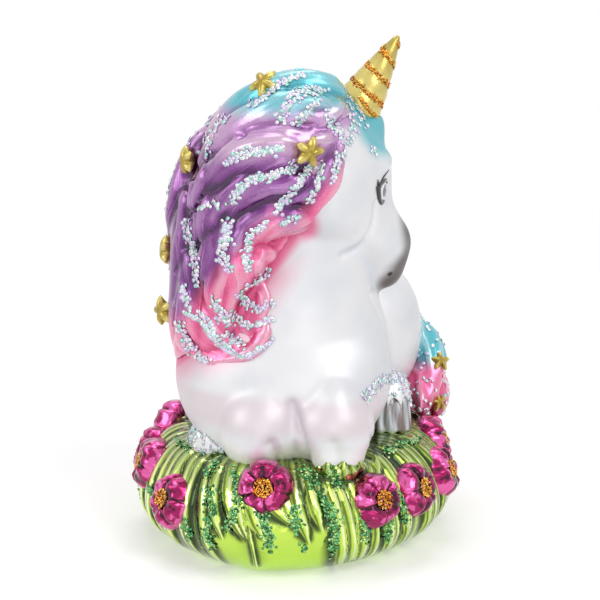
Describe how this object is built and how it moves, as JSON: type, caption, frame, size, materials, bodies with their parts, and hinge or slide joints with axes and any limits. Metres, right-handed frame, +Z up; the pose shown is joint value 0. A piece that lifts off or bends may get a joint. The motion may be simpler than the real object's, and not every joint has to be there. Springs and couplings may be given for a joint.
{
  "type": "unicorn figurine",
  "caption": "Resting unicorn of mould-blown glass on an oval cushion of grass and flowers, head turned to its left, spiral horn, long wavy mane with stars, tail beside its haunch.",
  "frame": {"origin": "middle of the flat foot of the grass cushion", "axes": "+Z up, +X from the chest to the rump along the mould seam, the face is turned towards -Y"},
  "size_m": [0.0832, 0.0731, 0.1131],
  "materials": {
    "pearl_lacquer": "satin pearl white lacquer over silvered glass",
    "grass_lacquer": "transparent lime lacquer over silvered glass, mirror bright",
    "petal_lacquer": "transparent magenta lacquer over silvered glass, mirror bright",
    "gold_lacquer": "satin gold lacquer",
    "teal_hair": "airbrushed teal lacquer with glitter flakes",
    "lilac_hair": "airbrushed lilac lacquer with glitter flakes",
    "purple_hair": "airbrushed purple lacquer with glitter flakes",
    "pink_hair": "airbrushed pink lacquer with glitter flakes",
    "eye_paint": "hand-painted enamel",
    "hoof_paint": "airbrushed grey-brown over pearl lacquer",
    "white_glitter": "pearl lacquer under iridescent white glitter",
    "gold_glitter": "orange-gold glitter flakes in clear glue"
  },
  "bodies": {
    "root": {"eye_left": "eye_paint", "eye_right": "eye_paint", "feather_fore_right": "white_glitter", "feather_hind_left": "white_glitter", "feather_hind_right": "white_glitter", "flower_01": "petal_lacquer", "flower_02": "petal_lacquer", "flower_03": "petal_lacquer", "flower_04": "petal_lacquer", "flower_05": "petal_lacquer", "flower_06": "petal_lacquer", "flower_07": "petal_lacquer", "flower_08": "petal_lacquer", "flower_09": "petal_lacquer", "flower_10": "petal_lacquer", "flower_11": "petal_lacquer", "flower_12": "petal_lacquer", "flower_13": "petal_lacquer", "flower_14": "petal_lacquer", "flower_15": "petal_lacquer", "flower_hearts": "gold_glitter", "foreleg_left": "pearl_lacquer", "foreleg_right": "pearl_lacquer", "forelock": "teal_hair", "grass_base": "grass_lacquer", "grass_blades": "grass_lacquer", "haunch_left": "pearl_lacquer", "haunch_right": "pearl_lacquer", "head": "pearl_lacquer", "hind_hoof_left": "hoof_paint", "hind_hoof_right": "hoof_paint", "horn": "gold_lacquer", "mane_bulk": "purple_hair", "mane_lock_breast": "pink_hair", "mane_lock_brow": "lilac_hair", "mane_lock_cheek": "purple_hair", "mane_lock_crest": "purple_hair", "mane_lock_crown": "teal_hair", "mane_lock_far_cheek": "purple_hair", "mane_lock_far_side": "purple_hair", "mane_lock_jaw": "pink_hair", "mane_lock_nape": "purple_hair", "mane_lock_shoulder": "pink_hair", "mane_lock_temple": "purple_hair", "mane_lock_throat": "pink_hair", "mane_lock_withers": "purple_hair", "neck": "pearl_lacquer", "stars": "gold_lacquer", "tail_lock_lower": "petal_lacquer", "tail_lock_middle": "pink_hair", "tail_lock_upper": "teal_hair", "torso": "pearl_lacquer"}
  },
  "joints": []
}
